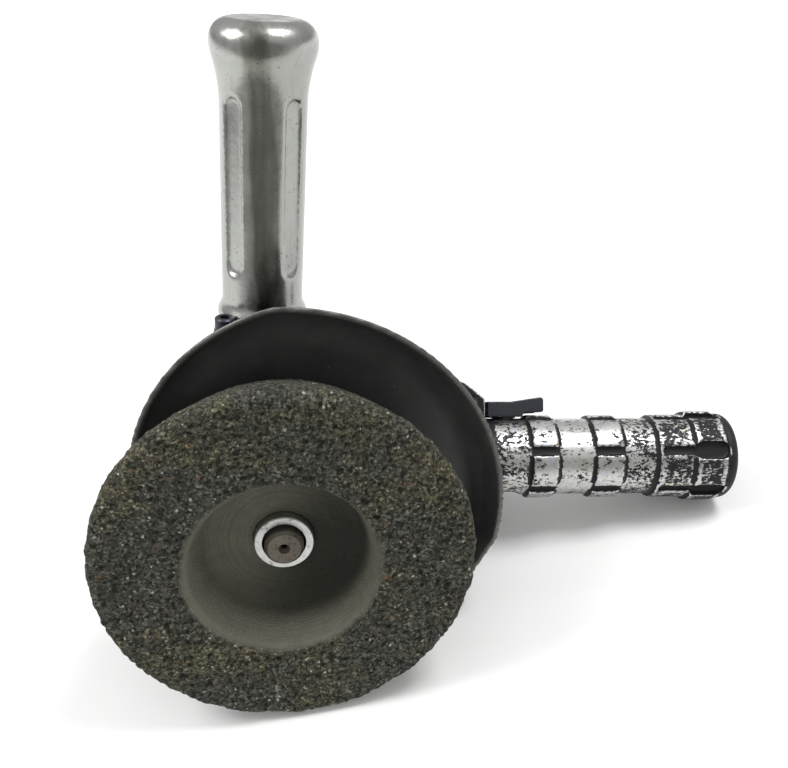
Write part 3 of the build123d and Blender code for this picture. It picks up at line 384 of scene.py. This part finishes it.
def worn_grip():
    """The throttle handle: black paint left in the slots and on the end, speckled bare metal elsewhere."""
    s = Shader("worn_black_paint")
    bare = s.attribute("bare")
    proud = s.attribute("edge")
    speckle = s.noise(1.3, 5, 0.7, (tool_x, 1.5))
    patches = s.noise(7, 3, 0.6)
    rub = s.math("ADD", s.math("MULTIPLY", speckle, 0.75), s.math("MULTIPLY", patches, 0.4))
    threshold = s.step(bare, 0, 1, 0.95, 0.49)
    rubbed = s.step(s.math("SUBTRACT", rub, threshold), 0.0, 0.04)
    ridge = s.math("ADD", proud, s.math("MULTIPLY", s.math("SUBTRACT", speckle, 0.5), 0.35))
    worn = s.math("MAXIMUM", rubbed, s.step(ridge, 0.2, 0.28))
    metal = s.mix(s.noise(2.2, 4), (0.38, 0.38, 0.375), (0.74, 0.735, 0.72))
    straw_or_blue = s.mix(s.step(s.noise(9, 1), 0.45, 0.55), (0.60, 0.55, 0.38), (0.42, 0.47, 0.62))
    metal = s.mix(s.step(s.noise(6, 2), 0.55, 0.72, 0, 0.5), metal, straw_or_blue)
    paint = s.mix(s.noise(6, 3), (0.006, 0.006, 0.007), (0.018, 0.018, 0.020))
    s.set(
        Base_Color=s.mix(worn, paint, metal),
        Metallic=s.step(worn, 0, 1),
        Roughness=s.math("ADD", s.step(worn, 0, 1, 0.4, 0.24), s.step(patches, 0.3, 0.7, 0, 0.16)),
        Specular_IOR_Level=0.22,
        Normal=s.bump(s.math("SUBTRACT", 1.0, worn), 0.08, 0.5, s.bump(speckle, 0.14, 0.5)),
    )
    return s.material


def metal(name, dark, light, roughness=0.3, grain=0.6, metallic=1.0, grime=0.25):
    """Machined metal: fine tone and roughness changes, with grime in places."""
    s = Shader(name)
    broad = s.noise(6, 4, 0.6)
    fine = s.noise(grain, 3, 0.6)
    dirt = s.step(s.noise(2.2, 4, 0.65), 0.56, 0.7, 0, grime)
    s.set(
        Base_Color=s.mix(dirt, s.mix(fine, dark, light), (0.05, 0.045, 0.038)),
        Metallic=metallic,
        Roughness=s.math("ADD", s.step(broad, 0.3, 0.7, roughness, roughness + 0.15), dirt),
        Normal=s.bump(fine, 0.05, 0.5),
    )
    return s.material


def matte(name, dark, light, roughness=0.8, grain=0.5, depth=0.1):
    """Rubber, felt, paper and laminate: mottled and rough."""
    s = Shader(name)
    fine = s.noise(grain, 4, 0.65)
    mottling = s.math("ADD", s.math("MULTIPLY", fine, 0.6), s.math("MULTIPLY", s.noise(7, 3), 0.4))
    s.set(
        Base_Color=s.mix(mottling, dark, light),
        Roughness=roughness,
        Normal=s.bump(fine, depth, 0.6),
    )
    return s.material


finishes = {
    "abrasive_stone": abrasive(),
    "black_paint": black_paint("black_paint"),
    "worn_black_paint": worn_grip(),
    "black_steel": metal("black_steel", (0.022, 0.024, 0.028), (0.07, 0.075, 0.088), 0.34, 0.8, 0.85, 0.3),
    "cast_aluminium": polished_casting(),
    "bushing_steel": metal("bushing_steel", (0.36, 0.36, 0.35), (0.74, 0.735, 0.72), 0.32, 0.45, 1.0, 0.4),
    "plain_steel": metal("plain_steel", (0.30, 0.30, 0.31), (0.52, 0.52, 0.53), 0.28),
    "brass": metal("brass", (0.45, 0.30, 0.10), (0.72, 0.52, 0.22), 0.28),
    "felt": matte("felt", (0.12, 0.11, 0.09), (0.27, 0.25, 0.21), 0.95, 0.4, 0.3),
    "seal_rubber": matte("seal_rubber", (0.010, 0.010, 0.010), (0.028, 0.028, 0.028), 0.6),
    "gasket_paper": matte("gasket_paper", (0.12, 0.09, 0.05), (0.30, 0.24, 0.15), 0.85, 0.8, 0.1),
    "vane_laminate": matte("vane_laminate", (0.10, 0.045, 0.015), (0.22, 0.11, 0.045), 0.6, 0.7, 0.05),
}
guard_paint = black_paint("guard_paint", 0.2, 0.38)
spindle_steel = metal("spindle_steel", (0.055, 0.046, 0.036), (0.19, 0.17, 0.14), 0.42, 0.9, 0.75, 0.6)
slots = {entry["node"]: entry["material_slot"] for entry in frame["record"]["subparts"]}
for node, obj in nodes.items():
    obj.data.materials.clear()
    obj.data.materials.append(spindle_steel if node == "spindle" else finishes[slots[node]])

# ---------------------------------------------------------------------------------------------------
# Pieces that stand for CAD nodes
# ---------------------------------------------------------------------------------------------------


def piece(node, name, voxel, rounds, body="grinder_body", finish=None):
    """Return a piece that stands for a CAD node, with the corners rounded as casting and wear do it.

    The voxel size is in millimetres, and the rounds of relaxing round the corners. The finish is the one
    of the node's slot unless another is given. The piece stores how far each vertex stands proud of its
    surroundings, in millimetres, as "edge".
    """
    made = bpy.data.objects.new(name, nodes[node].data.copy())
    bpy.context.scene.collection.objects.link(made)
    remesh = made.modifiers.new("remesh", "REMESH")
    remesh.mode = "VOXEL"
    remesh.voxel_size = voxel * MM
    remesh.adaptivity = 0
    depsgraph = bpy.context.evaluated_depsgraph_get()
    mesh = bpy.data.meshes.new_from_object(made.evaluated_get(depsgraph))
    made.modifiers.clear()
    made.data = mesh
    points = relax(mesh, get_points(mesh), rounds)
    set_points(mesh, points)
    flat = relax(mesh, points, FLATTENING)
    proud = np.einsum("ij,ij->i", points - flat, get_normals(mesh)) / MM
    set_attribute(mesh, "edge", proud)
    mesh.materials.clear()
    mesh.materials.append(finish or finishes[slots[node]])
    mesh.shade_smooth()
    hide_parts(node)
    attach(made, body)
    return made


# How far grit may stand out of the wheel, in millimetres, and the side where the painted shade in the recess is
# darkest, in degrees
HIGHEST_GRIT = 0.45
SHADED_SIDE = -20


def grit_wheel():
    """The worn cup wheel: grit and pores in its mesh, a chipped rim and a smooth recess."""
    wheel = piece("grinding_wheel", "cup_wheel", 0.8, 3, "spindle")
    mesh = wheel.data
    points = get_points(mesh)
    normals = get_normals(mesh)
    local = tool_coords(points)
    radius = np.hypot(local[:, 0], local[:, 1])
    angle = np.arctan2(local[:, 1], local[:, 0])
    lip = np.hypot(local[:, 0] - LIP_CENTRE[0], local[:, 1] - LIP_CENTRE[1]) + 0.8 * field(local, 9, 7)
    recess = smoothstep(RECESS_RADIUS + 3, RECESS_RADIUS - 0.5, lip)
    recess *= smoothstep(RECESS_BACK, RECESS_BACK + 5, local[:, 2])
    rough = 1 - 0.9 * recess
    grain = 0.3 * field(local, 1.6) + 0.34 * field(local, 2.9, 1)
    pores = -0.7 * smoothstep(0.2, 0.5, field(local, 1.8, 2))
    pores -= 0.5 * smoothstep(0.3, 0.6, field(local, 3.0, 6))
    waves = 0.3 * field(local, 12, 3)
    rim = smoothstep(WHEEL_RADIUS - 5, WHEEL_RADIUS - 0.5, radius)
    rim_line = np.column_stack([np.cos(angle), np.sin(angle), np.zeros(len(angle))]) * WHEEL_RADIUS
    chips = rim * (0.55 * field(rim_line, 2.8, 4) + 0.5 * field(rim_line, 6, 5))
    moved = np.minimum(rough * (grain + pores + waves) + chips, HIGHEST_GRIT) * MM
    set_points(mesh, points + normals * moved[:, None])
    set_attribute(mesh, "smooth", recess)
    # The pores' depth, kept for the painted shade in them.
    set_attribute(mesh, "pore_shade", rough * np.minimum(-pores, 1))
    set_attribute(mesh, "turned", radius + local[:, 2])
    # Painted shade in the recess: darker with depth below the face, and darkest on one side.
    shade_side = 0.5 + 0.5 * np.cos(angle - math.radians(SHADED_SIDE))
    set_attribute(mesh, "recess_shade", smoothstep(-5, -19, local[:, 2]) * (radius < RECESS_RADIUS) * shade_side)
    return wheel


# How much the hands have rubbed the throttle handle, at places along it
RUBBING = (
    (96, 0.78),
    (112, 0.80),
    (118, 1.0),
    (150, 1.0),
    (158, 0.90),
    (164, 0.74),
    (176, 0.72),
    (180, 0.86),
    (212, 0.84),
)


def throttle_grip():
    """The throttle handle, with the metal rubbed bare where hands hold it."""
    handle = piece("throttle_handle", "throttle_grip", 0.6, 4)
    mesh = handle.data
    local = tool_coords(get_points(mesh))
    along = local[:, 0]
    across = np.column_stack([local[:, 1], local[:, 2] - HANDLE_Z])
    radius = np.hypot(across[:, 0], across[:, 1])
    normals = get_normals(mesh) @ TOOL.T
    outward = (normals[:, 1] * across[:, 0] + normals[:, 2] * across[:, 1]) / np.maximum(radius, 1e-6)
    turn = np.degrees(np.arctan2(across[:, 1], across[:, 0])) - SLOT_TURN
    off_slot = np.abs((turn + SLOT_STEP / 2) % SLOT_STEP - SLOT_STEP / 2)
    side = radius * np.sin(np.radians(off_slot))
    bare = smoothstep(0.75, 0.95, outward) * smoothstep(GRIP_START, GRIP_START + 4, along)
    bare *= 1 - smoothstep(END_BAND - 0.5, END_BAND + 0.5, along)
    # The slots keep their paint. They cross the rings, and widen in the last one.
    narrow, wide = SLOT_HALF_WIDTHS
    (first, _), (second, _) = END_RINGS
    half_width = np.where(along > second + 1, wide, narrow)
    in_slot = smoothstep(half_width + SLOT_EDGE, half_width, side)
    for start, end in RINGS:
        within = smoothstep(start - 0.8, start, along) * smoothstep(end + 0.8, end, along)
        bare *= 1 - within * in_slot
    bare *= 1 - smoothstep(first + 0.8, first + 1.6, along) * in_slot
    # The end pads keep more paint in their middles than at their borders.
    across_pad = 1 - np.abs(off_slot - SLOT_STEP / 2) / (SLOT_STEP / 2)
    for (start, end), share in zip(END_RINGS, (0.2, 0.27)):
        along_pad = 1 - np.abs(along - (start + end) / 2) / ((end - start) / 2)
        bare *= 1 - share * smoothstep(0.1, 0.5, np.minimum(along_pad, across_pad))
    proud = np.empty(len(bare), np.float32)
    mesh.attributes["edge"].data.foreach_get("value", proud)
    bare *= smoothstep(-0.14, -0.03, proud)
    bare *= look_up(along, RUBBING)
    set_attribute(mesh, "bare", bare)
    return handle


# The painted reflection on the dead handle, a dark streak for a figure standing in front of it, in millimetres at
# heights up the handle
REFLECTION_MIDDLE = ((92, 1.5), (130, 1.0), (164, -1.2), (190, -3.8))
REFLECTION_HALF_WIDTH = ((84, 3), (96, 5), (140, 5.5), (164, 4.2), (178, 5.2), (190, 5.4), (194, 2.5))


def dead_grip():
    """The dead handle, with a painted reflection: a dark streak that runs from its bulb down its front."""
    handle = piece("dead_handle", "dead_grip", 0.5, 22)
    local = tool_coords(get_points(handle.data))
    up = local[:, 1]
    beside = np.abs(local[:, 0] - DEAD_X - look_up(up, REFLECTION_MIDDLE) - 0.8 * field(local, 14, 8))
    half_width = look_up(up, REFLECTION_HALF_WIDTH)
    front = smoothstep(HANDLE_Z + 1, HANDLE_Z + 4, local[:, 2])
    set_attribute(handle.data, "painted_reflection", front * smoothstep(half_width + 0.9, half_width - 0.9, beside))
    return handle


grit_wheel()
throttle_grip()
dead_grip()
piece("wheel_guard", "guard_shell", 0.85, 3, "guard", guard_paint)
piece("motor_housing", "motor_case", 1.0, 3)
piece("rear_cap", "rear_cover", 0.8, 3)
piece("nose_housing", "nose_case", 0.9, 3)
piece("dead_handle_socket", "handle_socket", 0.6, 3)
piece("exhaust_deflector", "exhaust_ring", 0.5, 2, "deflector")
piece("throttle_lever", "lever_blade", 0.35, 3, "lever")
piece("guard_clamp_band", "clamp_band", 0.45, 2, "guard")

# ---------------------------------------------------------------------------------------------------
# Floor, light and camera
# ---------------------------------------------------------------------------------------------------

# The floor ends in front of the tool, where polished metal would show it. It glows a little from
# FLOOR_FADE, in millimetres, so that it stays as white as the backdrop.
FLOOR_HALF = 3.0
FLOOR_FRONT = -0.5
FLOOR_FADE = (350, 1100)
floor_mesh = bpy.data.meshes.new("floor")
corners = [
    (-FLOOR_HALF, FLOOR_FRONT, 0),
    (FLOOR_HALF, FLOOR_FRONT, 0),
    (FLOOR_HALF, FLOOR_HALF, 0),
    (-FLOOR_HALF, FLOOR_HALF, 0),
]
floor_mesh.from_pydata(corners, [], [(0, 1, 2, 3)])
floor = bpy.data.objects.new("floor", floor_mesh)
bpy.context.scene.collection.objects.link(floor)
pale = Shader("pale_floor")
away = pale.step(pale.vector("LENGTH", pale.coords).outputs["Value"], *FLOOR_FADE, 0, 0.7)
pale.set(
    Base_Color=pale.mix(pale.noise(400, 2), (0.77, 0.775, 0.77), (0.80, 0.80, 0.795)),
    Roughness=0.75,
    Emission_Color=(1.0, 1.0, 1.0, 1.0),
    Emission_Strength=away,
)
floor_mesh.materials.append(pale.material)


def area_light(name, place, aim, size, power, glossy=True):
    """Add a soft square light at a place, turned to its aim."""
    light = bpy.data.lights.new(name, "AREA")
    light.size = size
    light.energy = power
    lamp = bpy.data.objects.new(name, light)
    lamp.location = place
    lamp.visible_glossy = glossy
    lamp.rotation_euler = (Vector(aim) - Vector(place)).to_track_quat("-Z", "Y").to_euler()
    bpy.context.scene.collection.objects.link(lamp)


middle = (0, 0, 0.09)
area_light("key", (0.5, 0.05, 1.15), middle, 0.4, 9)
area_light("left", (-0.75, 0.05, 0.95), middle, 0.5, 8)
area_light("front", (-0.3, -1.0, 0.5), middle, 0.3, 2.5, glossy=False)

WHITE_BACKDROP = 1.3
world = bpy.data.worlds.new("studio")
sky = Sky(world)
# A darker figure stands in front of the tool, and polished metal shows it as a dark streak.
half_width = sky.step(sky.z, 0.0, 0.8, 0.66, 0.16)
across = sky.math("SUBTRACT", sky.x, sky.step(sky.z, 0.1, 0.8, 0.08, -0.08))
beside = sky.math("ABSOLUTE", across)
figure = sky.step(sky.math("SUBTRACT", beside, half_width), 0.07, -0.03)
figure = sky.math("MULTIPLY", figure, sky.step(sky.y, -0.05, -0.2))
figure = sky.math("MULTIPLY", figure, sky.step(sky.z, 0.96, 0.88))
walls = sky.mix(sky.step(sky.z, -0.1, 0.8), (0.62, 0.63, 0.62), (1.0, 1.0, 1.0))
direct = sky.tree.nodes.new("ShaderNodeLightPath").outputs["Is Camera Ray"]
sky.set(
    Color=sky.mix(direct, sky.mix(figure, walls, (0.42, 0.43, 0.40)), WHITE_BACKDROP),
    Strength=0.8,
)
bpy.context.scene.world = world
bpy.context.scene.view_settings.view_transform = "Standard"

CAMERA_PLACE = (-0.0399, -0.33108, 0.37627)
CAMERA_HEADING = math.radians(4.29)
CAMERA_PITCH = math.radians(39.65)
CAMERA_ROLL = math.radians(-5.8)
CAMERA_LENS = 45.69
camera_data = bpy.data.cameras.new("camera")
camera_data.sensor_width = 36
camera_data.lens = CAMERA_LENS
camera = bpy.data.objects.new("camera", camera_data)
heading = Matrix.Rotation(-CAMERA_HEADING, 4, "Z")
tilt = Matrix.Rotation(math.pi / 2 - CAMERA_PITCH, 4, "X")
roll = Matrix.Rotation(CAMERA_ROLL, 4, "Z")
camera.matrix_world = Matrix.Translation(CAMERA_PLACE) @ heading @ tilt @ roll
bpy.context.scene.collection.objects.link(camera)
bpy.context.scene.camera = camera
